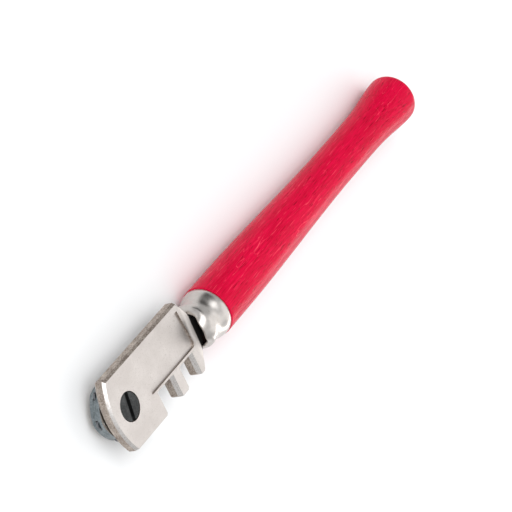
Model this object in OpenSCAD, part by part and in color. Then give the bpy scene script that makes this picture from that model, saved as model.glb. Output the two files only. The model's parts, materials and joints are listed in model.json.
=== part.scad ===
// Glass cutter with a wooden handle and a turret of six cutting wheels.
// The tool lies flat: +X runs from the cutting wheel to the butt, +Y to the plain top
// edge of the head, and +Z out of the face that holds the screw.

/* [Head plate] */
// Thickness of the plate
plate_t = 2.6; // [2.2:0.1:3.2]
// Height of the plain top edge above the centre line
plate_top = 7.85; // [7.4:0.05:8.6]
// Depth of the front block's bottom edge below the centre line
block_drop = 7.6; // [7.2:0.05:7.8]
// Distance from the turret screw to the front of the nose
nose_reach = 5.65; // [5.4:0.05:5.9]
// Radius of the nose, seen from the face
nose_r = 14.9; // [13:0.1:18]
// Width of the bevel round the nose and along the top edge
edge_bevel = 0.5; // [0.2:0.05:0.7]
// Depth of the sunk panel in the face
panel_depth = 0.45; // [0.2:0.05:0.6]
// Distance from the turret screw to the panel's near edge
panel_start = 7.1; // [6.5:0.1:8]
// Distance from the turret screw to the panel's far edge
panel_end = 24.3; // [23.5:0.1:24.4]
// Height of the panel's upper edge above the centre line
panel_top = 6.15; // [5:0.05:6.2]
// Depth of the panel's lower edge below the centre line
panel_drop = 2.1; // [1.6:0.05:2.2]
// How far the neck's face drops on its way into the ferrule
neck_drop = 0.45; // [0.4:0.05:0.5]

/* [Notches and teeth] */
// Distance from the turret screw to the wide notch
notch_start = 8.55; // [8.2:0.05:9]
// Width of the wide notch
wide_notch = 5.7; // [5.2:0.05:6]
// Width of the narrow notch
narrow_notch = 4.7; // [4.2:0.05:4.8]
// Width of the tooth between the notches
tooth_w = 3.05; // [2.8:0.05:3.2]
// Depth of the notches' ceiling below the centre line
notch_ceiling = 2.55; // [2.5:0.05:3]
// Depth of the tooth tips below the centre line
tooth_drop = 7.5; // [7.2:0.05:7.85]
// Width of the bevel on the teeth's leading edges
tooth_bevel = 0.6; // [0.3:0.05:0.8]
// Depth of that bevel
bevel_depth = 0.9; // [0.3:0.05:1.2]

/* [Turret] */
// Radius of the turret at its six corners
turret_r = 5.95; // [5.8:0.05:6.05]
// How far the middle of each side bulges out from a straight side
side_crown = 0.55; // [0.3:0.05:0.7]
// Thickness of the turret
turret_t = 2.3; // [2.1:0.1:2.6]
// Gap between the plate and the turret's rim
turret_gap = 0.2; // [0.15:0.05:0.4]
// Radius of a cutting wheel
wheel_r = 1.1; // [1.05:0.05:1.3]
// Thickness of a cutting wheel
wheel_t = 0.5; // [0.4:0.05:0.7]
// How far a wheel stands out past the turret's corner
wheel_proud = 0.35; // [0.3:0.05:0.5]
// Radius of a wheel's axle
axle_r = 0.35; // [0.3:0.05:0.45]

/* [Screw] */
// Radius of the screw's head
screw_head_r = 2.92; // [2.7:0.01:2.95]
// Thickness of the screw's head
screw_head_t = 1.2; // [1:0.05:1.4]
// Radius of the screw's shank
screw_r = 1.75; // [1.5:0.05:1.8]
// Width of the screwdriver slot
slot_w = 1.05; // [0.7:0.05:1.2]
// Angle of the screwdriver slot from the tool's length
slot_angle = 77; // [0:1:179]

/* [Handle and ferrule] */
// Distance from the turret screw to the front of the bare wood
wood_start = 33.2; // [32.8:0.1:34]
// Distance from the turret screw to the butt
butt_end = 121.8; // [115:0.1:125]
// Radius of the handle's front barrel
barrel_r = 5.58; // [5.5:0.01:6]
// Radius of the handle's waist
waist_r = 4.56; // [4.2:0.01:5]
// Largest radius of the handle's butt
butt_r = 5.58; // [5.3:0.01:5.58]
// Radius of the ferrule where it meets the wood
ferrule_r = 5.44; // [5.3:0.01:5.5]
// Wall thickness of the ferrule
ferrule_wall = 0.42; // [0.35:0.01:0.5]

/* [Hidden] */
$fn = 96;
wheel_count = 6;

eps = 0.01;           // overshoot that keeps cuts clean
run_fit = 0.05;       // radial clearance of every running fit
face_gap = 0.05;      // clearance between faces that turn on each other
over = 20;            // reach of cutting blocks past the head

// Heights, measured from the centre line
face_z = plate_t / 2;
back_z = -plate_t / 2;
panel_z = face_z - panel_depth;
neck_z = face_z - neck_drop;
turret_top_z = back_z - turret_gap;
turret_mid_z = turret_top_z - turret_t / 2;
head_sunk = 0.05;     // depth of the screw's head below the face
head_top_z = face_z - head_sunk;
head_base_z = head_top_z - screw_head_t;

// Places along the head, measured from the turret screw
tooth_1 = notch_start + wide_notch;
tooth_1_end = tooth_1 + tooth_w;
tooth_2 = tooth_1_end + narrow_notch;
tooth_2_end = tooth_2 + 1.8;
shoulder_x = 24.2;
slope_x = 24.7;       // where the neck's face starts to drop
neck_x = 26.7;
neck_half = 3.7;
tip_cut = 0.4;        // corner cut on the tooth tips

// Tang inside the ferrule and the handle
mouth_half = 3.2;
tang_x = 27.6;
tang_half = 2.2;
tang_end = 56;
tang_bore_r = 2.35;

// Stations of the ferrule's outline: lip, bead, groove and skirt
lip_x = 25.4;
lip_r = 4.05;
bead_x = 27.9;
bead_r = 4.9;
groove_x = 29.5;
groove_r = 4.77;
skirt_x = 32.5;
skirt_r = ferrule_r - 0.03;
tenon_x = 28.6;
fit_slip = 0.02;      // clearance of the tenon in the ferrule
slot_side = 0.05;     // clearance of the neck in the ferrule's mouth

// Stations of the handle's outline
barrel_end = 41;
waist_start = 92;
waist_end = 95.5;
butt_x = butt_end - 2.85;
curve_steps = 16;

// Wheel places
wheel_orbit = turret_r + wheel_proud - wheel_r;
pocket_r = wheel_r + 0.08;
pocket_t = wheel_t + 2 * face_gap;
wheel_edge = 0.14;    // radial depth of the V edge
boss_r = 3.6;
side_mid = turret_r * cos(30) + side_crown;
half_side = turret_r / 2;
side_r = (half_side * half_side + side_crown * side_crown) / (2 * side_crown);

// Row frame: middle of the tool in plan, on the surface it lies on
front_x = -(turret_r + wheel_proud);
frame_x = (front_x + butt_end) / 2;
frame_y = (plate_top - max(tooth_drop, block_drop)) / 2;
frame_z = barrel_r;

// S-curve from 0 to 1
function ease(u) = (1 - cos(180 * u)) / 2;
function mix(a, b, u) = a + (b - a) * u;
function steps(n) = [for (i = [0:n]) i / n];
function wheel_angle(i) = 180 - (i - 1) * 360 / wheel_count;

module in_frame() {
    translate([-frame_x, -frame_y, frame_z]) children();
}

// Turns a profile of [radius, distance] points about the tool's length
module lathe(profile) {
    rotate([0, 90, 0]) rotate_extrude() polygon(profile);
}

/* Head casting */

module head_outline() {
    polygon([
        [-8, plate_top], [shoulder_x, plate_top], [shoulder_x + 0.15, plate_top - 0.75],
        [neck_x - 0.3, neck_half + 0.5], [neck_x, neck_half], [neck_x, -neck_half],
        [tooth_2_end + 1.3, -tooth_drop + 2.3], [tooth_2_end + tip_cut / 2, -tooth_drop + tip_cut],
        [tooth_2_end - tip_cut / 2, -tooth_drop], [tooth_2 + tip_cut, -tooth_drop],
        [tooth_2, -tooth_drop + tip_cut], [tooth_2, -notch_ceiling],
        [tooth_1_end, -notch_ceiling], [tooth_1_end, -tooth_drop + tip_cut],
        [tooth_1_end - tip_cut, -tooth_drop], [tooth_1 + tip_cut, -tooth_drop],
        [tooth_1, -tooth_drop + tip_cut], [tooth_1, -notch_ceiling],
        [notch_start, -notch_ceiling], [notch_start, -block_drop + tip_cut],
        [notch_start - tip_cut, -block_drop], [-8, -block_drop]]);
}

// The sunk panel: its far edge leans, and its far lower corner is rounded off
module panel_outline() {
    corner = 0.7;
    polygon([
        [panel_start + 0.1, panel_top], [panel_end - 0.5, panel_top],
        [panel_end, -panel_drop + corner], [panel_end - corner / 3, -panel_drop + corner / 3],
        [panel_end - corner, -panel_drop], [panel_start, -panel_drop]]);
}

// Everything inside the nose's arc, with both of its edges bevelled
module nose_limit() {
    translate([nose_r - nose_reach, 0, 0])
        rotate_extrude($fn = 180) polygon([
            [0, back_z], [nose_r - edge_bevel, back_z], [nose_r, back_z + edge_bevel],
            [nose_r, face_z - edge_bevel], [nose_r - edge_bevel, face_z], [0, face_z]]);
    translate([nose_r / 2, -over, back_z]) cube([over * 2, over * 2, plate_t]);
}

// A bar along the tool whose top edge is bevelled on both faces
module top_edge_limit() {
    rotate([90, 0, 90]) translate([0, 0, -over]) linear_extrude(over * 3)
        polygon([
            [-over, back_z], [plate_top - edge_bevel, back_z], [plate_top, back_z + edge_bevel],
            [plate_top, face_z - edge_bevel], [plate_top - edge_bevel, face_z], [-over, face_z]]);
}

// Cuts the bevel on the leading edge of the tooth that starts at x
module leading_bevel(x) {
    translate([x, -notch_ceiling - eps, face_z]) rotate([90, 0, 0]) linear_extrude(over)
        polygon([[-eps, -bevel_depth], [tooth_bevel, eps], [-eps, eps]]);
}

// Everything above the neck's sloping face
module above_neck() {
    rotate([90, 0, 0]) translate([0, 0, -over]) linear_extrude(2 * over)
        polygon([[slope_x, face_z], [neck_x, neck_z], [neck_x + over, neck_z], [neck_x + over, over],
            [slope_x, over]]);
}

module tang() {
    tang_t = neck_z - back_z;
    translate([neck_x - eps, -mouth_half, back_z]) cube([tang_x - neck_x + eps, 2 * mouth_half, tang_t]);
    translate([tang_x - eps, 0, back_z]) linear_extrude(tang_t) polygon([
        [0, -tang_half], [0, tang_half], [tang_end - tang_x - 3, tang_half],
        [tang_end - tang_x, tang_half / 2], [tang_end - tang_x, -tang_half / 2],
        [tang_end - tang_x - 3, -tang_half]]);
}

module head_casting() {
    color("#d2c8c3") in_frame() difference() {
        union() {
            intersection() {
                translate([0, 0, back_z]) linear_extrude(plate_t) head_outline();
                nose_limit();
                top_edge_limit();
            }
            tang();
        }
        above_neck();
        translate([0, 0, panel_z]) linear_extrude(panel_depth + eps) panel_outline();
        leading_bevel(tooth_1);
        leading_bevel(tooth_2);
        translate([0, 0, back_z - eps]) cylinder(r = screw_r + run_fit, h = plate_t + 2 * eps);
        translate([0, 0, head_base_z - face_gap])
            cylinder(r = screw_head_r + run_fit, h = screw_head_t + face_gap + head_sunk + eps);
    }
}

/* Ferrule and handle */

// Outer radius of the ferrule at a distance x from the turret screw
function ferrule_out(x) =
    x < bead_x ? mix(lip_r, bead_r, sin(90 * (x - lip_x) / (bead_x - lip_x))) :
    x < groove_x ? mix(bead_r, groove_r, ease((x - bead_x) / (groove_x - bead_x))) :
    x < skirt_x ? mix(groove_r, skirt_r, ease((x - groove_x) / (skirt_x - groove_x))) :
    mix(skirt_r, ferrule_r, (x - skirt_x) / (wood_start - skirt_x));

function ferrule_stations(from) = concat(
    [for (u = steps(8)) if (mix(lip_x, bead_x, u) >= from) mix(lip_x, bead_x, u)],
    [for (u = steps(6)) if (u > 0 && mix(bead_x, groove_x, u) > from) mix(bead_x, groove_x, u)],
    [for (u = steps(10)) if (u > 0) mix(groove_x, skirt_x, u)],
    [wood_start]);

module ferrule() {
    outer = ferrule_stations(lip_x);
    last = len(outer) - 1;
    color("#c9c5c0") in_frame() difference() {
        lathe(concat(
            [for (x = outer) [ferrule_out(x), x]],
            [for (i = [0:last]) [ferrule_out(outer[last - i]) - ferrule_wall, outer[last - i]]]));
        for (side = [0, 1]) mirror([0, side, 0])
            translate([lip_x - 1, mouth_half - 0.2, back_z - slot_side])
                cube([neck_x + slot_side - lip_x + 1, 3, plate_t + 2 * slot_side]);
    }
}

// Radius of the bare wood at a distance x from the turret screw
function handle_out(x) =
    x < barrel_end ? barrel_r :
    x < waist_start ? mix(barrel_r, waist_r, ease((x - barrel_end) / (waist_start - barrel_end))) :
    x < waist_end ? waist_r :
    x < butt_x ? mix(waist_r, butt_r, ease(pow((x - waist_end) / (butt_x - waist_end), 2))) :
    butt_r * pow(1 - pow((x - butt_x) / (butt_end - butt_x), 2.3), 1 / 1.8);

module handle() {
    wood_edge = 0.25;
    tenon = ferrule_stations(tenon_x);
    color("#c8143c") in_frame() difference() {
        lathe(concat(
            [[0, tenon_x]],
            [[ferrule_out(tenon_x) - ferrule_wall - fit_slip, tenon_x]],
            [for (x = tenon) if (x > tenon_x) [ferrule_out(x) - ferrule_wall - fit_slip, x]],
            [[ferrule_r - 2 * ferrule_wall, wood_start], [ferrule_r - 2 * ferrule_wall, wood_start + fit_slip]],
            [[barrel_r - wood_edge, wood_start + fit_slip], [barrel_r, wood_start + wood_edge]],
            [for (u = steps(curve_steps)) let (x = mix(barrel_end, waist_start, u)) [handle_out(x), x]],
            [for (u = steps(curve_steps)) let (x = mix(waist_end, butt_x, u)) [handle_out(x), x]],
            [for (u = steps(12)) if (u > 0 && u < 1)
                let (x = mix(butt_x, butt_end, sin(90 * u))) [handle_out(x), x]],
            [[0, butt_end]]));
        rotate([0, 90, 0]) translate([0, 0, tenon_x - 1])
            cylinder(r = tang_bore_r, h = tang_end - tenon_x + 2);
    }
}

/* Turret, screw, wheels and axles */

module turret() {
    color("#8f9ba3") in_frame() difference() {
        union() {
            intersection_for(i = [1:wheel_count])
                rotate([0, 0, wheel_angle(i) + 30])
                    translate([side_mid - side_r, 0, turret_top_z - turret_t])
                        cylinder(r = side_r, h = turret_t, $fn = 180);
            translate([0, 0, turret_top_z - eps])
                cylinder(r = boss_r, h = turret_gap - face_gap + eps);
        }
        translate([0, 0, turret_top_z - turret_t - eps])
            cylinder(r = screw_r + run_fit, h = turret_t + turret_gap + 2 * eps);
        for (i = [1:wheel_count]) at_wheel(i) {
            cylinder(r = pocket_r, h = pocket_t, center = true);
            cylinder(r = axle_r, h = turret_t + 2 * eps, center = true, $fn = 48);
        }
    }
}

module at_wheel(i) {
    rotate([0, 0, wheel_angle(i)]) translate([wheel_orbit, 0, turret_mid_z]) children();
}

module turret_screw() {
    tip = 0.3;
    shank_end = turret_top_z - turret_t - 2 * tip;
    slot_depth = 0.7;
    crown = 0.15;
    color("#3c3e3e") in_frame() difference() {
        rotate_extrude() polygon([
            [0, shank_end], [screw_r - tip, shank_end], [screw_r, shank_end + tip],
            [screw_r, head_base_z], [screw_head_r, head_base_z], [screw_head_r, head_top_z - crown],
            [screw_head_r - crown, head_top_z], [0, head_top_z]]);
        rotate([0, 0, slot_angle]) translate([-over, -slot_w / 2, head_top_z - slot_depth])
            cube([2 * over, slot_w, slot_depth + eps]);
    }
}

module wheel(i) {
    bore = axle_r + run_fit;
    half_t = wheel_t / 2;
    color("#5b5f66") in_frame() at_wheel(i) rotate_extrude($fn = 72) polygon([
        [bore, -half_t], [wheel_r - wheel_edge, -half_t], [wheel_r, 0],
        [wheel_r - wheel_edge, half_t], [bore, half_t]]);
}

module axle(i) {
    color("#9a9a98") in_frame() at_wheel(i)
        cylinder(r = axle_r, h = turret_t, center = true, $fn = 48);
}

head_casting();
ferrule();
handle();
turret();
turret_screw();
for (i = [1:wheel_count]) {
    wheel(i);
    axle(i);
}
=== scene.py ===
import json
import math

import bmesh
import bpy
from mathutils import Matrix, Vector


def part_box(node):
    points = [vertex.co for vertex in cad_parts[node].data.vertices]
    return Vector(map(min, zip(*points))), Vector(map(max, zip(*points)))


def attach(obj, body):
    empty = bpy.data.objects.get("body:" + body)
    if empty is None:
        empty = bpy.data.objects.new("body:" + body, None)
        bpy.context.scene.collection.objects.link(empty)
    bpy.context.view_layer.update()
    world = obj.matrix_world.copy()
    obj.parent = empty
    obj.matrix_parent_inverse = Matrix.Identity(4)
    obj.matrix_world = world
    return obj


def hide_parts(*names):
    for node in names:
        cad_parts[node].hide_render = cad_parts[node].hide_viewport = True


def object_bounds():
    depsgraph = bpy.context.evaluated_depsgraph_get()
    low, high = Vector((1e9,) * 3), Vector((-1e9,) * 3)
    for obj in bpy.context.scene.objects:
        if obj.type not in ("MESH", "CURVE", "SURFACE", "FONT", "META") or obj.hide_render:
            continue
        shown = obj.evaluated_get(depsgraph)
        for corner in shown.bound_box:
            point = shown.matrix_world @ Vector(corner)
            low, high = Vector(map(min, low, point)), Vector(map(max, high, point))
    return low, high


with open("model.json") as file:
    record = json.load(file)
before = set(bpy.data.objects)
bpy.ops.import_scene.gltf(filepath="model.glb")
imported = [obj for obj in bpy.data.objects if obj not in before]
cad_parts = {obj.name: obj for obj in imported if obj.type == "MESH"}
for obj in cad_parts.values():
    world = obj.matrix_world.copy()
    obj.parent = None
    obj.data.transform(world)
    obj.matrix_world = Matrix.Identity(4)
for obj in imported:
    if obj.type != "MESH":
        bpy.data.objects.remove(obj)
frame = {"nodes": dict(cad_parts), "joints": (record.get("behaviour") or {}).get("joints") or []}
cad_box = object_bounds()

# The set. A pale floor, one big softbox leaning over the tool from behind, a low strip at its side
# and a cooler box over the camera. Past the plain edge of the head the studio falls away to dark.
# A long lens looks down at the head from in front of the nose.
MM = 0.001
camera_heading = 153.86  # degrees from +X, seen from above
camera_height = 36.30  # degrees above the horizon
camera_roll = 80.53
camera_distance = 0.6025
camera_lens = 210.94  # mm
aim_shift = Vector((-3.30, -0.175, 0)) * MM
middle = (cad_box[0] + cad_box[1]) / 2


def direction(heading, height):
    """The unit vector towards a heading and a height above the horizon, both in degrees."""
    h, e = math.radians(heading), math.radians(height)
    return Vector((math.cos(h) * math.cos(e), math.sin(h) * math.cos(e), math.sin(e)))


def look_from(thing, place, target, roll=0):
    """Puts a camera or a light at a place, facing the target."""
    turn = (place - target).to_track_quat("Z", "Y").to_matrix().to_4x4()
    thing.matrix_world = Matrix.Translation(place) @ turn @ Matrix.Rotation(math.radians(roll), 4, "Z")


def link(name, data):
    thing = bpy.data.objects.new(name, data)
    bpy.context.scene.collection.objects.link(thing)
    return thing


camera = link("camera", bpy.data.cameras.new("camera"))
camera.data.sensor_width = 36
camera.data.lens = camera_lens
camera.data.clip_start = 0.05
camera.data.clip_end = 20
target = middle + aim_shift
toward_camera = direction(camera_heading, camera_height)
look_from(camera, target + camera_distance * toward_camera, target, camera_roll)
bpy.context.scene.camera = camera
bpy.context.scene.view_settings.view_transform = "Standard"


def softbox(name, heading, height, distance, size, radiance, colour):
    """A rectangular area light that faces the tool, as bright as radiance at its surface. Its
    heading and height are in degrees, and its distance and sides in metres."""
    light = bpy.data.lights.new(name, "AREA")
    light.shape = "RECTANGLE"
    light.size, light.size_y = size
    light.energy = radiance * math.pi * size[0] * size[1]
    light.color = colour
    look_from(link(name, light), middle + distance * direction(heading, height), middle)


warm_white = (1, 0.985, 0.97)
cool_white = (0.98, 0.99, 1)
softbox("softbox_over", -28, 46, 0.9, (1.0, 0.9), 0.68, warm_white)
softbox("strip_side", -46, 9, 1.0, (0.9, 0.24), 4.0, warm_white)
softbox("softbox_front", 132, 56, 1.0, (1.2, 0.8), 2.3, cool_white)


def add(tree, kind, inputs=None, **settings):
    """Adds a node. Its inputs are values or the sockets that feed them, by name or by place."""
    made = tree.nodes.new(kind)
    for name, value in settings.items():
        setattr(made, name, value)
    for key, value in (inputs or {}).items():
        if isinstance(value, bpy.types.NodeSocket):
            tree.links.new(value, made.inputs[key])
        else:
            made.inputs[key].default_value = value
    return made


def calc(tree, operation, *values, clamp=False):
    """A sum on numbers or sockets."""
    made = add(tree, "ShaderNodeMath", dict(enumerate(values)), operation=operation, use_clamp=clamp)
    return made.outputs[0]


def vector(tree, operation, *values):
    """A sum on vectors, given back as a vector."""
    return add(tree, "ShaderNodeVectorMath", dict(enumerate(values)), operation=operation).outputs[0]


def span(tree, value, low, high, start, end):
    """Maps value from low..high to start..end, clamped."""
    return add(tree, "ShaderNodeMapRange", {0: value, 1: low, 2: high, 3: start, 4: end}).outputs[0]


dark_heading = 68  # degrees
darkest = 0.95
world = bpy.data.worlds.new("studio")
world.use_nodes = True
bpy.context.scene.world = world
sky = world.node_tree
gaze = add(sky, "ShaderNodeTexCoord").outputs["Generated"]
rise = add(sky, "ShaderNodeSeparateXYZ", {0: gaze}).outputs["Z"]
overhead = span(sky, rise, -0.1, 0.9, 0.5, 0.8)
bearing = vector(sky, "NORMALIZE", vector(sky, "MULTIPLY", gaze, (1, 1, 0)))
toward_dark = direction(dark_heading, 0)
facing = add(sky, "ShaderNodeVectorMath", {0: bearing, 1: toward_dark}, operation="DOT_PRODUCT")
darkness = span(sky, facing.outputs["Value"], 0.91, 0.97, 0, darkest)
low_down = span(sky, rise, 0.6, 0.75, 1, 0)
dark_end = calc(sky, "SUBTRACT", 1, calc(sky, "MULTIPLY", darkness, low_down))
background = sky.nodes["Background"]
sky.links.new(calc(sky, "MULTIPLY", overhead, dark_end), background.inputs["Strength"])
background.inputs["Color"].default_value = (0.97, 0.985, 1, 1)

floor_half = 1.6
corners = [(-floor_half, -floor_half, 0), (floor_half, -floor_half, 0),
           (floor_half, floor_half, 0), (-floor_half, floor_half, 0)]
floor_mesh = bpy.data.meshes.new("floor")
floor_mesh.from_pydata(corners, [], [(0, 1, 2, 3)])
floor = link("floor", floor_mesh)
floor_paint = bpy.data.materials.new("pale_floor")
floor_paint.use_nodes = True
floor_shader = floor_paint.node_tree.nodes["Principled BSDF"]
floor_shader.inputs["Base Color"].default_value = (0.86, 0.86, 0.86, 1)
floor_shader.inputs["Roughness"].default_value = 0.9
floor_mesh.materials.append(floor_paint)

# Head casting. A zinc die casting with a shallow panel sunk in its flat face, polished on the face
# and nickel plated; its sides and notch walls keep the grain of the mould. The tang runs on into
# the handle.
joints = {joint["name"]: joint for joint in frame["joints"]}
screw_place = Vector(joints["screw_turn"]["pos_m"])
neck_start = screw_place.x + 25.1 * MM
casting_round = 0.09 * MM


def finish(name, metallic, specular=0.5):
    """A new material, with its tree, its shader and the piece's own coordinates."""
    material = bpy.data.materials.new(name)
    material.use_nodes = True
    tree = material.node_tree
    shader = tree.nodes["Principled BSDF"]
    shader.inputs["Metallic"].default_value = metallic
    shader.inputs["Specular IOR Level"].default_value = specular
    return material, tree, shader, add(tree, "ShaderNodeTexCoord").outputs["Object"]


def stretched(tree, place, scale, turn=(0, 0, 0)):
    """The piece's coordinates times a scale, so that a pattern on them runs long where it is small."""
    return add(tree, "ShaderNodeMapping", {"Vector": place, "Scale": scale, "Rotation": turn}).outputs[0]


def noise(tree, place, scale, detail=3, rough=0.5, distortion=0):
    return add(tree, "ShaderNodeTexNoise", {
        "Vector": place, "Scale": scale, "Detail": detail, "Roughness": rough,
        "Distortion": distortion}).outputs["Fac"]


def tint(tree, factor, dark, light):
    """A colour between dark and light, which are colours or sockets."""
    values = {0: factor, 6: dark, 7: light}
    full = {k: (*v, 1) if isinstance(v, tuple) else v for k, v in values.items()}
    return add(tree, "ShaderNodeMix", full, data_type="RGBA").outputs[2]


def blend(tree, first, part, second, other_part):
    """Two patterns added in parts."""
    return calc(tree, "ADD", calc(tree, "MULTIPLY", first, part), calc(tree, "MULTIPLY", second, other_part))


def surface(tree, shader, colour, roughness):
    """Feeds the shader its colour and its roughness."""
    tree.links.new(colour, shader.inputs["Base Color"])
    tree.links.new(roughness, shader.inputs["Roughness"])


def relief(tree, shader, height, depth, strength):
    """Feeds height to the shader as a bump of that depth in metres."""
    made = add(tree, "ShaderNodeBump", {"Height": height, "Distance": depth, "Strength": strength})
    tree.links.new(made.outputs[0], shader.inputs["Normal"])


def satin_nickel():
    """The polished face: warm grey, faintly clouded, with fine lengthwise polishing lines. Towards
    the ferrule, where the wheel can't reach, it turns to the dull grain of the casting, painted
    paler there as painted light on the neck that the ferrule shades, and inside the ferrule's
    mouth it is painted black as painted shade."""
    material, tree, shader, place = finish("satin_nickel", 1)
    cloud = noise(tree, place, 260, 4, 0.55)
    grain = noise(tree, place, 4600, 3, 0.6)
    lines = noise(tree, stretched(tree, place, (300, 9000, 9000)), 1, 2)
    spot = add(tree, "ShaderNodeSeparateXYZ", {0: place}).outputs
    neck_edge = calc(tree, "ADD", spot["X"], calc(tree, "MULTIPLY", cloud, 1.5 * MM))
    neck = span(tree, neck_edge, neck_start, neck_start + 0.8 * MM, 0, 1)
    clouded = tint(tree, span(tree, cloud, 0.35, 0.65, 0, 1), (0.53, 0.49, 0.465), (0.60, 0.56, 0.535))
    polished = tint(tree, span(tree, grain, 0.30, 0.44, 0, 1), (0.45, 0.41, 0.38), clouded)
    # the neck's colour is partly the unpolished casting and partly painted light: it is painted paler to
    # lift the neck that the ferrule's lip shades
    dull_and_painted_light = tint(tree, neck, polished, (0.72, 0.665, 0.625))
    # painted shade: the band where the neck runs under the ferrule's lip is painted near black, slanted
    # across the neck
    slanted = calc(tree, "ADD", spot["X"], calc(tree, "MULTIPLY", spot["Y"], -0.1))
    painted_mouth_shade_edge = calc(tree, "ADD", slanted, calc(tree, "MULTIPLY", cloud, 0.5 * MM))
    painted_mouth_shade = span(tree, painted_mouth_shade_edge, neck_start + 1.5 * MM, neck_start + 1.75 * MM, 0, 1)
    sheen = span(tree, blend(tree, lines, 0.6, cloud, 0.4), 0.3, 0.7, 0.38, 0.5)
    surface(tree, shader, tint(tree, painted_mouth_shade, dull_and_painted_light, (0.010, 0.008, 0.007)),
            calc(tree, "ADD", sheen, calc(tree, "MULTIPLY", neck, 0.25)))
    tree.links.new(span(tree, neck, 0, 1, 1, 0.1), shader.inputs["Metallic"])
    relief(tree, shader, calc(tree, "ADD", grain, calc(tree, "MULTIPLY", lines, 0.5)), 0.006 * MM, 0.6)
    return material


def bevel_nickel():
    """The bevels: plated over the mould's grain, then brushed by the polishing wheel."""
    material, tree, shader, place = finish("bevel_nickel", 1)
    grain = noise(tree, place, 3600, 3, 0.65)
    pits = span(tree, noise(tree, place, 5200, 2), 0.28, 0.38, 0, 1)
    plated = tint(tree, span(tree, grain, 0.36, 0.60, 0, 1), (0.56, 0.52, 0.49), (0.75, 0.72, 0.70))
    surface(tree, shader, tint(tree, pits, (0.38, 0.33, 0.30), plated),
            span(tree, grain, 0.3, 0.7, 0.5, 0.3))
    relief(tree, shader, grain, 0.02 * MM, 0.6)
    return material


def cast_nickel_and_painted_shade():
    """The unpolished sides: browner, with the grain of the mould, and darker partly as painted shade for the
    dark surroundings that these walls reflect.
    """
    material, tree, shader, place = finish("cast_nickel_and_painted_shade", 1)
    cloud = noise(tree, place, 500, 3)
    grain = noise(tree, place, 3800, 3, 0.65)
    mottled = span(tree, blend(tree, grain, 0.7, cloud, 0.3), 0.36, 0.64, 0, 1)
    # partly painted shade: the sides are painted darker than nickel to stand in for the dark surroundings
    # they reflect
    surface(tree, shader, tint(tree, mottled, (0.19, 0.145, 0.12), (0.60, 0.53, 0.47)),
            span(tree, grain, 0.3, 0.7, 0.6, 0.42))
    relief(tree, shader, grain, 0.02 * MM, 0.7)
    return material


weld_gap = 0.002 * MM
flat_angle = math.radians(0.8)
edge_angle = math.radians(20)


def clean_copy(node):
    """The CAD node's shape as one clean mesh, its flat triangles merged into whole faces."""
    made = bmesh.new()
    made.from_mesh(frame["nodes"][node].data)
    bmesh.ops.remove_doubles(made, verts=made.verts, dist=weld_gap)
    bmesh.ops.dissolve_limit(made, angle_limit=flat_angle, verts=made.verts, edges=made.edges,
                             use_dissolve_boundaries=False)
    return made


def soften(made, width):
    """Rounds every edge where the faces turn by more than the edge angle."""
    sharp = [edge for edge in made.edges if edge.is_manifold and edge.calc_face_angle(0) > edge_angle]
    bmesh.ops.bevel(made, geom=sharp, offset=width, offset_type="OFFSET", segments=2, profile=0.5,
                    affect="EDGES", clamp_overlap=True)


def shown(name, made, materials, body, slot, *nodes, pick=None, angle=30, flat_faces=False):
    """Turns a built mesh into a piece that rides on body and stands for the CAD nodes."""
    mesh = bpy.data.meshes.new(name)
    made.to_mesh(mesh)
    made.free()
    for material in materials:
        mesh.materials.append(material)
    if pick:
        for face in mesh.polygons:
            face.material_index = pick(face)
    mesh.shade_smooth()
    mesh.set_sharp_from_angle(angle=math.radians(angle))
    piece = link(name, mesh)
    if flat_faces:  # keeps the shading of a wide face level up to its rounded edges
        weighting = piece.modifiers.new("level_faces", "WEIGHTED_NORMAL")
        weighting.keep_sharp = True
        seen = piece.evaluated_get(bpy.context.evaluated_depsgraph_get())
        levelled = bpy.data.meshes.new_from_object(seen)
        piece.modifiers.remove(weighting)
        piece.data = levelled
    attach(piece, body)
    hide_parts(*nodes)
    return piece


casting = clean_copy("head_casting")
soften(casting, casting_round)


def casting_finish(face):
    """Satin on the two faces, bright on the nose's and the teeth's bevels, cast on all the rest."""
    slope = abs(face.normal.z)
    if slope > 0.9:
        return 0
    return 1 if slope > 0.3 and face.normal.x < -0.2 else 2


shown("head", casting, [satin_nickel(), bevel_nickel(), cast_nickel_and_painted_shade()], "head", "head_plate",
      "head_casting", pick=casting_finish, angle=35, flat_faces=True)

# Ferrule. A cup spun from thin brass tube, nickel plated and polished. Its lip is rolled in round
# the casting's neck and drawn back at the two shoulders, and its skirt is driven over the wood.
handle_low, handle_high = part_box("handle")
axis_height = (handle_low.z + handle_high.z) / 2
ferrule_low, ferrule_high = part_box("ferrule")
ferrule_r = (ferrule_high.z - ferrule_low.z) / 2
ferrule_wall = 0.42 * MM
skirt_draft = 0.03 * MM
end_round = 0.08 * MM
lip = (25.4 * MM, 4.05 * MM)  # distance from the turret screw, and radius
bead = (27.9 * MM, 4.9 * MM)
groove = (29.5 * MM, 4.77 * MM)
skirt = (32.5 * MM, ferrule_r - skirt_draft)
wood_start = ferrule_high.x - screw_place.x
shoulder_step = 1.35 * MM
shoulder_turn = math.radians(60)  # how far round from straight up the lip is fully set back


def mix(low, high, part):
    """The value a part of the way from low to high."""
    return low + (high - low) * part


def ease(part):
    """An S-curve from 0 to 1."""
    return (1 - math.cos(math.pi * part)) / 2


def curved(start, end, count, bend=ease):
    """Points from start to end, not counting start, whose radius follows a bend."""
    parts = [(i + 1) / count for i in range(count)]
    return [(mix(start[0], end[0], part), mix(start[1], end[1], bend(part))) for part in parts]


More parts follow.
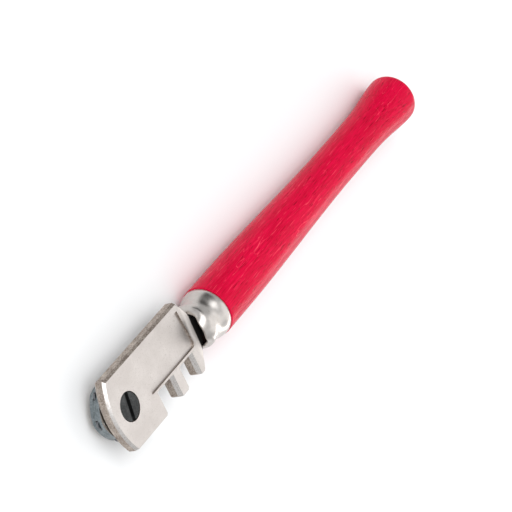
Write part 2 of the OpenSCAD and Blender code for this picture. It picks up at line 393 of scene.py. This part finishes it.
def turned(profile, place, count=96, closed=False):
    """A mesh turned on a lathe from (distance, radius) points; a radius of 0 is a pole."""
    made = bmesh.new()
    rings = []
    for distance, radius in profile:
        angles = [math.tau * i / count for i in range(count if radius else 1)]
        rings.append([made.verts.new(place(distance, radius, angle)) for angle in angles])
    for near, far in zip(rings, rings[1:] + rings[:1] if closed else rings[1:]):
        for i in range(count):
            near_pair = [near[i % len(near)], near[(i + 1) % len(near)]]
            far_pair = [far[(i + 1) % len(far)], far[i % len(far)]]
            made.faces.new(list(dict.fromkeys(near_pair + far_pair)))
    bmesh.ops.recalc_face_normals(made, faces=made.faces)
    return made


def round_tool(distance, radius, angle):
    """A point at an angle from straight up round the tool's length."""
    return Vector((screw_place.x + distance, screw_place.y + radius * math.sin(angle),
                   axis_height + radius * math.cos(angle)))


def drawn_back(distance, radius, angle):
    """As round_tool, with the lip set back where the casting's shoulders pass it."""
    side = ease(min(1, (math.sin(angle) / math.sin(shoulder_turn)) ** 2))
    reach = max(0, (bead[0] - distance) / (bead[0] - lip[0]))
    return round_tool(distance + side * shoulder_step * reach, radius, angle)


def polished_nickel():
    """Bright plate with the fine rings that the spinning and the buff left on it."""
    material, tree, shader, place = finish("polished_nickel", 1)
    rings = noise(tree, stretched(tree, place, (9000, 60, 60)), 1, 3, 0.6)
    haze = noise(tree, place, 1500, 3)
    hazed = tint(tree, span(tree, haze, 0.35, 0.65, 0, 1), (0.53, 0.495, 0.465), (0.57, 0.54, 0.515))
    surface(tree, shader, hazed, span(tree, blend(tree, rings, 0.5, haze, 0.5), 0.35, 0.65, 0.27, 0.33))
    relief(tree, shader, rings, 0.001 * MM, 0.4)
    return material


lip_round = [(lip[0] + 0.06 * MM, lip[1] - 0.35 * MM), (lip[0], lip[1] - 0.22 * MM),
             (lip[0], lip[1] - end_round)]
outside = lip_round + [lip] + curved(lip, bead, 14, lambda part: math.sin(math.pi / 2 * part))
outside += curved(bead, groove, 8) + curved(groove, skirt, 12)
outside += [(wood_start - end_round, ferrule_r), (wood_start, ferrule_r - end_round)]
inside = [(distance, radius - ferrule_wall) for distance, radius in reversed(outside[4:-1])]
inside[0] = (wood_start, inside[0][1])
shell = turned(outside + inside, drawn_back, 128, closed=True)
shown("ferrule", shell, [polished_nickel()], "head", "ferrule", "ferrule", angle=50)

# Handle. A beech turning, stained red and dipped in clear lacquer, with a straight front, a slim
# waist and a swelling butt. The tang is driven into the bore of its bare tenon.
barrel_r = (handle_high.z - handle_low.z) / 2
waist_r = 4.56 * MM
butt_r = 5.58 * MM
handle_end = handle_high.x - screw_place.x
wood_edge = 0.25 * MM
fit_slip = 0.02 * MM
barrel_end = 41 * MM  # distances from the turret screw
waist_start = 92 * MM
waist_end = 95.5 * MM
dome_length = 2.85 * MM
tenon_start = handle_low.x - screw_place.x
tenon_chamfer = 0.2 * MM
tang_bore = (57 * MM, 2.35 * MM)  # its end from the turret screw, and its radius


def grown(name, sizes, shape, material):
    """A piece whose mesh comes from a Geometry Nodes tree that takes the named sizes."""
    tree = bpy.data.node_groups.new(name, "GeometryNodeTree")
    for size in sizes:
        tree.interface.new_socket(size, in_out="INPUT", socket_type="NodeSocketFloat")
    tree.interface.new_socket("Geometry", in_out="OUTPUT", socket_type="NodeSocketGeometry")
    made = shape(tree, tree.nodes.new("NodeGroupInput").outputs)
    real = add(tree, "GeometryNodeRealizeInstances", {0: made}).outputs[0]
    painted = add(tree, "GeometryNodeSetMaterial", {0: real, "Material": material}).outputs[0]
    tree.links.new(painted, tree.nodes.new("NodeGroupOutput").inputs[0])
    piece = link(name, bpy.data.meshes.new(name))
    modifier = piece.modifiers.new(name, "NODES")
    modifier.node_group = tree
    for socket in tree.interface.items_tree:
        if socket.in_out == "INPUT":
            modifier[socket.identifier] = sizes[socket.name]
    seen = piece.evaluated_get(bpy.context.evaluated_depsgraph_get())
    mesh = bpy.data.meshes.new_from_object(seen)
    piece.modifiers.remove(modifier)
    piece.data = mesh
    return piece


def eased(tree, part):
    """The S-curve as nodes."""
    wave = calc(tree, "COSINE", calc(tree, "MULTIPLY", part, math.pi))
    return calc(tree, "MULTIPLY", calc(tree, "SUBTRACT", 1, wave), 0.5)


def handle_shape(tree, size):
    """A grid wrapped round the tool's length: one side runs along it and the other round it."""
    dome_part = 0.16  # share of the rows that the domed end gets
    dome_powers = (2.3, 1.8)  # how full the dome is along the tool, and across it
    rows, sides = 151, 97
    grid = add(tree, "GeometryNodeMeshGrid", {
        "Size X": 1, "Size Y": 1, "Vertices X": rows, "Vertices Y": sides})
    spot = add(tree, "ShaderNodeSeparateXYZ", {0: add(tree, "GeometryNodeInputPosition").outputs[0]})
    run = calc(tree, "ADD", spot.outputs["X"], 0.5)
    angle = calc(tree, "MULTIPLY", calc(tree, "ADD", spot.outputs["Y"], 0.5), math.tau)
    shaft = span(tree, run, 0, 1 - dome_part, size["Start"], size["Dome start"])
    rise = calc(tree, "SINE", span(tree, run, 1 - dome_part, 1, 0, math.pi / 2))
    dome = calc(tree, "MULTIPLY", rise, calc(tree, "SUBTRACT", size["End"], size["Dome start"]))
    along = calc(tree, "ADD", shaft, dome)
    taper = eased(tree, span(tree, along, size["Barrel end"], size["Waist start"], 0, 1))
    swell = span(tree, along, size["Waist end"], size["Dome start"], 0, 1)
    flare = eased(tree, calc(tree, "POWER", swell, 2))
    slimmed = span(tree, taper, 0, 1, size["Barrel radius"], size["Waist radius"])
    growth = calc(tree, "SUBTRACT", size["Butt radius"], size["Waist radius"])
    swollen = calc(tree, "MULTIPLY", flare, growth)
    cap = calc(tree, "POWER", span(tree, along, size["Dome start"], size["End"], 0, 1), dome_powers[0])
    closing = calc(tree, "POWER", calc(tree, "SUBTRACT", 1, cap, clamp=True), 1 / dome_powers[1])
    radius = calc(tree, "MULTIPLY", calc(tree, "ADD", slimmed, swollen), closing)
    place = add(tree, "ShaderNodeCombineXYZ", {
        0: calc(tree, "ADD", along, size["Screw X"]),
        1: calc(tree, "ADD", calc(tree, "MULTIPLY", radius, calc(tree, "SINE", angle)), size["Axis Y"]),
        2: calc(tree, "ADD", calc(tree, "MULTIPLY", radius, calc(tree, "COSINE", angle)), size["Axis Z"])})
    wrapped = add(tree, "GeometryNodeSetPosition", {
        "Geometry": grid.outputs[0], "Position": place.outputs[0]}).outputs[0]
    return add(tree, "GeometryNodeMergeByDistance", {0: wrapped, "Distance": weld_gap}).outputs[0]


def lacquered_beech():
    """Red stain that lies darker in the pores and paler on the hard lines, under satin lacquer.
    A few wavy growth lines run along the turning, where the cut just skims them."""
    material, tree, shader, place = finish("lacquered_beech", 0, 0.05)
    streak = noise(tree, stretched(tree, place, (90, 2400, 2400)), 1, 4, 0.6)
    fine = noise(tree, stretched(tree, place, (260, 5200, 5200)), 1, 3, 0.6)
    fleck = noise(tree, stretched(tree, place, (320, 5000, 5000)), 1, 2)
    pale_fleck = noise(tree, stretched(tree, place, (200, 4600, 4600), (0, 0, 0.03)), 1, 2)
    cloud = noise(tree, stretched(tree, place, (60, 220, 220)), 1, 3)
    body = calc(tree, "ADD", blend(tree, streak, 0.4, fine, 0.4), calc(tree, "MULTIPLY", cloud, 0.2))
    stained = tint(tree, span(tree, body, 0.38, 0.62, 0, 1), (0.50, 0.001, 0.026), (0.72, 0.003, 0.050))
    growth = noise(tree, stretched(tree, place, (24, 150, 150), (0.05, 0.35, 0.06)), 1, 3, 0.55, 0.6)
    waves = calc(tree, "PINGPONG", calc(tree, "MULTIPLY", growth, 7), 0.5)
    ragged = calc(tree, "ADD", waves, calc(tree, "MULTIPLY", calc(tree, "SUBTRACT", fine, 0.5), 0.10))
    patches = span(tree, cloud, 0.40, 0.58, 0, 0.8)
    line = calc(tree, "MULTIPLY", span(tree, ragged, 0, 0.022, 1, 0), patches)
    pores = span(tree, fleck, 0.31, 0.39, 0.8, 0)
    pale = span(tree, pale_fleck, 0.64, 0.71, 0, 0.45)
    flecked = tint(tree, pores, stained, (0.26, 0.0005, 0.012))
    lit = tint(tree, calc(tree, "MAXIMUM", line, pale), flecked, (0.92, 0.075, 0.13))
    surface(tree, shader, lit, span(tree, streak, 0.3, 0.7, 0.30, 0.18))
    ribs = blend(tree, streak, 0.6, fine, 0.4)
    height = calc(tree, "ADD", ribs, blend(tree, line, 0.4, pores, -0.5))
    relief(tree, shader, height, 0.05 * MM, 0.7)
    return material


def bare_beech():
    """The unlacquered tenon, dull and dark with stain."""
    material, tree, shader, place = finish("bare_beech", 0)
    streak = noise(tree, stretched(tree, place, (120, 2600, 2600)), 1, 4)
    stained = tint(tree, streak, (0.020, 0.008, 0.006), (0.055, 0.022, 0.016))
    tree.links.new(stained, shader.inputs["Base Color"])
    shader.inputs["Roughness"].default_value = 0.85
    relief(tree, shader, streak, 0.02 * MM, 0.6)
    return material


lacquer = lacquered_beech()
handle = grown("handle", {
    "Screw X": screw_place.x, "Axis Y": screw_place.y, "Axis Z": axis_height,
    "Start": wood_start + wood_edge, "Barrel end": barrel_end, "Waist start": waist_start,
    "Waist end": waist_end, "Dome start": handle_end - dome_length, "End": handle_end,
    "Barrel radius": barrel_r, "Waist radius": waist_r, "Butt radius": butt_r}, handle_shape, lacquer)
wood_face = wood_start + fit_slip
edge_depth = wood_edge - fit_slip
edge_turns = [math.pi / 2 * i / 5 for i in range(6)]
rim = [(wood_face + edge_depth * (1 - math.cos(turn)), barrel_r - wood_edge * (1 - math.sin(turn)))
       for turn in edge_turns]
tenon_r = groove[1] - ferrule_wall - fit_slip
shoulder = [(groove[0] + 0.6 * MM, tenon_r), (wood_start - 0.4 * MM, ferrule_r - ferrule_wall - 0.07 * MM)]
tenon = [(tenon_start, tenon_r - tenon_chamfer), (tenon_start + tenon_chamfer, tenon_r)] + shoulder
tenon += [(wood_face, ferrule_r - 2 * ferrule_wall)]
bore = [(tang_bore[0], 0), tang_bore, (tenon_start, tang_bore[1])]
front = turned(bore + tenon + rim, round_tool)
front_mesh = bpy.data.meshes.new("handle_front")
front.to_mesh(front_mesh)
front.free()
whole = bmesh.new()
whole.from_mesh(handle.data)
whole.from_mesh(front_mesh)
bmesh.ops.remove_doubles(whole, verts=whole.verts, dist=1.5 * weld_gap)
bmesh.ops.recalc_face_normals(whole, faces=whole.faces)
bpy.data.objects.remove(handle)


def wood_finish(face):
    """Lacquer outside, bare wood on the tenon and in the bore."""
    distance = face.center.x - screw_place.x
    radius = math.hypot(face.center.y - screw_place.y, face.center.z - axis_height)
    near_bore = distance < tang_bore[0] + 0.1 * MM and radius < tang_bore[1] + 0.1 * MM
    return 1 if distance <= wood_face or near_bore else 0


shown("handle", whole, [lacquer, bare_beech()], "head", "handle_wood", "handle", pick=wood_finish)

# Turret. A six-sided zinc-plated steel block, faced on a lathe, that the screw clamps under the
# head. Each corner has a slot for a wheel, and it is turned to bring a fresh wheel to the front.
turret_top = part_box("turret")[1].z
turret_round = 0.07 * MM
turret = clean_copy("turret")
soften(turret, turret_round)


def zinc_plate(name, turned_marks):
    """Zinc plate: warm grey with the rings of facing on the faces, and blue-grey with a fine
    crystal grain on the sides, where it is also painted dark as painted shade for the shaded floor that the
    rim reflects."""
    material, tree, shader, place = finish(name, 1)
    grain = noise(tree, place, 4200, 3, 0.65)
    cloud = noise(tree, place, 600, 3)
    mottled = span(tree, blend(tree, grain, 0.7, cloud, 0.3), 0.36, 0.62, 0, 1)
    if turned_marks:
        flat = vector(tree, "MULTIPLY", vector(tree, "SUBTRACT", place, screw_place), (1, 1, 0))
        radius = add(tree, "ShaderNodeVectorMath", {0: flat}, operation="LENGTH").outputs["Value"]
        rings = noise(tree, add(tree, "ShaderNodeCombineXYZ", {0: radius}).outputs[0], 9000, 2)
        height = calc(tree, "ADD", rings, calc(tree, "MULTIPLY", grain, 0.4))
        dark = (0.50, 0.45, 0.40)
        light = (0.66, 0.62, 0.58)
    else:
        height = grain
        # partly painted shade: the blue tint is the plate's own, but the rim is painted much darker to stand
        # in for the shaded floor its facets reflect
        dark = (0.10, 0.12, 0.127)
        light = (0.31, 0.345, 0.36)
    surface(tree, shader, tint(tree, mottled, dark, light), span(tree, grain, 0.3, 0.7, 0.42, 0.26))
    relief(tree, shader, height, 0.01 * MM, 0.6)
    return material


def turret_finish(face):
    """Rings of facing on the two faces, crystal grain on all the rest."""
    return 0 if abs(face.normal.z) > 0.9 else 1


zinc = [zinc_plate("zinc_face", True), zinc_plate("zinc_rim", False)]
shown("turret", turret, zinc, "turret", "turret_zinc", "turret", pick=turret_finish, angle=35,
      flat_faces=True)

# Turret screw. A blackened steel cheese-head screw whose head sinks into the face of the casting.
# Its thread runs through the turret, which it pulls up against the back of the plate.
screw_low, screw_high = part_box("turret_screw")
shank_r = 1.75 * MM
thread_root = 1.5 * MM
thread_crest = 1.73 * MM
pitch = 0.6 * MM
head_thickness = 1.2 * MM
screw_round = 0.06 * MM
hair = 0.01 * MM  # slack for telling one corner from the next
screw = clean_copy("turret_screw")
for corner in screw.verts:
    out = Vector((corner.co.x - screw_place.x, corner.co.y - screw_place.y, 0))
    below_head = corner.co.z < screw_high.z - head_thickness + hair
    if below_head and out.length < shank_r + hair:
        corner.co -= out * (1 - thread_root / shank_r)
soften(screw, screw_round)


def black_oxide():
    """Blackened steel, rubbed to grey in faint patches."""
    material, tree, shader, place = finish("black_oxide", 0.55, 0.3)
    grain = noise(tree, place, 4200, 3, 0.6)
    cloud = noise(tree, place, 500, 3)
    worn = span(tree, blend(tree, grain, 0.5, cloud, 0.5), 0.4, 0.65, 0, 1)
    surface(tree, shader, tint(tree, worn, (0.018, 0.019, 0.019), (0.06, 0.063, 0.063)),
            span(tree, grain, 0.3, 0.7, 0.5, 0.36))
    relief(tree, shader, grain, 0.01 * MM, 0.5)
    return material


def thread_shape(tree, size):
    """A three-sided ridge swept along a helix."""
    turns = calc(tree, "DIVIDE", size["Length"], size["Pitch"])
    depth = calc(tree, "SUBTRACT", size["Crest radius"], size["Root radius"])
    ridge = calc(tree, "MULTIPLY", depth, 0.75)  # its inner corners then lie in the shank
    middle_r = calc(tree, "SUBTRACT", size["Crest radius"], ridge)
    helix = add(tree, "GeometryNodeCurveSpiral", {
        "Resolution": 48, "Rotations": turns, "Start Radius": middle_r, "End Radius": middle_r,
        "Height": size["Length"]})
    upright = add(tree, "GeometryNodeSetCurveNormal", {0: helix.outputs[0]}, mode="Z_UP")
    profile = add(tree, "GeometryNodeCurvePrimitiveCircle", {"Resolution": 3, "Radius": ridge})
    outward = add(tree, "GeometryNodeTransform", {0: profile.outputs[0], "Rotation": (0, 0, math.pi)})
    swept = add(tree, "GeometryNodeCurveToMesh", {
        "Curve": upright.outputs[0], "Profile Curve": outward.outputs[0], "Fill Caps": True})
    foot = add(tree, "ShaderNodeCombineXYZ", {0: size["Screw X"], 1: size["Screw Y"], 2: size["Thread Z"]})
    return add(tree, "GeometryNodeTransform", {
        0: swept.outputs[0], "Translation": foot.outputs[0]}).outputs[0]


oxide = black_oxide()
thread = grown("thread", {
    "Pitch": pitch, "Crest radius": thread_crest, "Root radius": thread_root,
    "Length": turret_top - screw_low.z - 0.5 * MM, "Screw X": screw_place.x, "Screw Y": screw_place.y,
    "Thread Z": screw_low.z + 0.3 * MM}, thread_shape, oxide)
screw.from_mesh(thread.data)
bpy.data.objects.remove(thread)
shown("turret_screw", screw, [oxide], "turret_screw", "screw_black", "turret_screw", angle=35,
      flat_faces=True)

# Cutting wheels. Six discs of hard steel, bored, faced and ground to a blunt V edge. Only the one
# at the front of the turret cuts; each turns freely on its own pin.


def ground_steel():
    """Hard steel with the fine grain that grinding leaves."""
    material, tree, shader, place = finish("ground_steel", 1)
    grain = noise(tree, place, 6500, 3, 0.6)
    surface(tree, shader, tint(tree, grain, (0.15, 0.155, 0.165), (0.30, 0.31, 0.325)),
            span(tree, grain, 0.3, 0.7, 0.35, 0.2))
    relief(tree, shader, grain, 0.004 * MM, 0.5)
    return material


def round_pin(centre):
    """The place function for a shape turned about an upright pin."""
    def place(distance, radius, angle):
        return centre + Vector((radius * math.cos(angle), radius * math.sin(angle), distance))
    return place


wheel_count = 6
wheel_names = [f"wheel_{number + 1}" for number in range(wheel_count)]
wheel_edge = 0.14 * MM
bore_r = 0.40 * MM
chamfer = 0.05 * MM
wheel_steel = ground_steel()
for name in wheel_names:
    low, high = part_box(name)
    half = (high.z - low.z) / 2
    radius = (high.x - low.x) / 2
    rim_r = radius - wheel_edge
    section = [(-half, bore_r + chamfer), (-half, rim_r), (0, radius), (half, rim_r),
               (half, bore_r + chamfer), (half - chamfer, bore_r), (chamfer - half, bore_r)]
    disc = turned(section, round_pin((low + high) / 2), 64, closed=True)
    shown(name, disc, [wheel_steel], name, "wheel_steel", name, angle=20)

# Axles. Six short pins, cut from ground wire and pressed through the turret, one for each wheel.
pin_low, pin_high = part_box("axle_1")
wheel_orbit = screw_place.x - (pin_low.x + pin_high.x) / 2
pin_chamfer = 0.06 * MM


def drawn_wire():
    """Plain bright wire with fine lengthwise lines."""
    material, tree, shader, place = finish("drawn_wire", 1)
    lines = noise(tree, stretched(tree, place, (6000, 6000, 500)), 1, 2)
    surface(tree, shader, tint(tree, lines, (0.42, 0.42, 0.41), (0.60, 0.60, 0.58)),
            span(tree, lines, 0.3, 0.7, 0.36, 0.24))
    relief(tree, shader, lines, 0.004 * MM, 0.5)
    return material


def pins_shape(tree, size):
    """Chamfered pins on a ring, one for each wheel."""
    ring = add(tree, "GeometryNodeMeshCircle", {"Vertices": wheel_count, "Radius": size["Orbit"]})
    pin = add(tree, "GeometryNodeMeshCylinder", {
        "Vertices": 24, "Side Segments": 3, "Radius": size["Pin radius"], "Depth": size["Length"]})
    position = add(tree, "GeometryNodeInputPosition").outputs[0]
    spot = add(tree, "ShaderNodeSeparateXYZ", {0: position}).outputs
    half = calc(tree, "MULTIPLY", size["Length"], 0.5)
    near_end = calc(tree, "MULTIPLY", half, 0.9)
    at_end = calc(tree, "GREATER_THAN", calc(tree, "ABSOLUTE", spot["Z"]), near_end)
    slimming = calc(tree, "DIVIDE", size["Chamfer"], size["Pin radius"])
    width = calc(tree, "SUBTRACT", 1, calc(tree, "MULTIPLY", at_end, slimming))
    shoulder = calc(tree, "SUBTRACT", half, size["Chamfer"])
    shoulder_z = calc(tree, "MULTIPLY", calc(tree, "SIGN", spot["Z"]), shoulder)
    level = add(tree, "ShaderNodeMix", {0: at_end, 2: shoulder_z, 3: spot["Z"]}).outputs[0]
    moved = add(tree, "ShaderNodeCombineXYZ", {
        0: calc(tree, "MULTIPLY", spot["X"], width), 1: calc(tree, "MULTIPLY", spot["Y"], width), 2: level})
    cut = add(tree, "GeometryNodeSetPosition", {"Geometry": pin.outputs[0], "Position": moved.outputs[0]})
    set_out = add(tree, "GeometryNodeInstanceOnPoints", {
        "Points": ring.outputs[0], "Instance": cut.outputs[0]}).outputs[0]
    centre = add(tree, "ShaderNodeCombineXYZ", {0: size["Screw X"], 1: size["Screw Y"], 2: size["Middle Z"]})
    return add(tree, "GeometryNodeTransform", {0: set_out, "Translation": centre.outputs[0]}).outputs[0]


pins = grown("axles", {
    "Orbit": wheel_orbit, "Pin radius": (pin_high.x - pin_low.x) / 2, "Length": pin_high.z - pin_low.z,
    "Chamfer": pin_chamfer, "Screw X": screw_place.x, "Screw Y": screw_place.y,
    "Middle Z": (pin_low.z + pin_high.z) / 2}, pins_shape, drawn_wire())
pins.data.shade_smooth()
pins.data.set_sharp_from_angle(angle=math.radians(30))
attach(pins, "turret")
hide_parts(*[name.replace("wheel", "axle") for name in wheel_names])
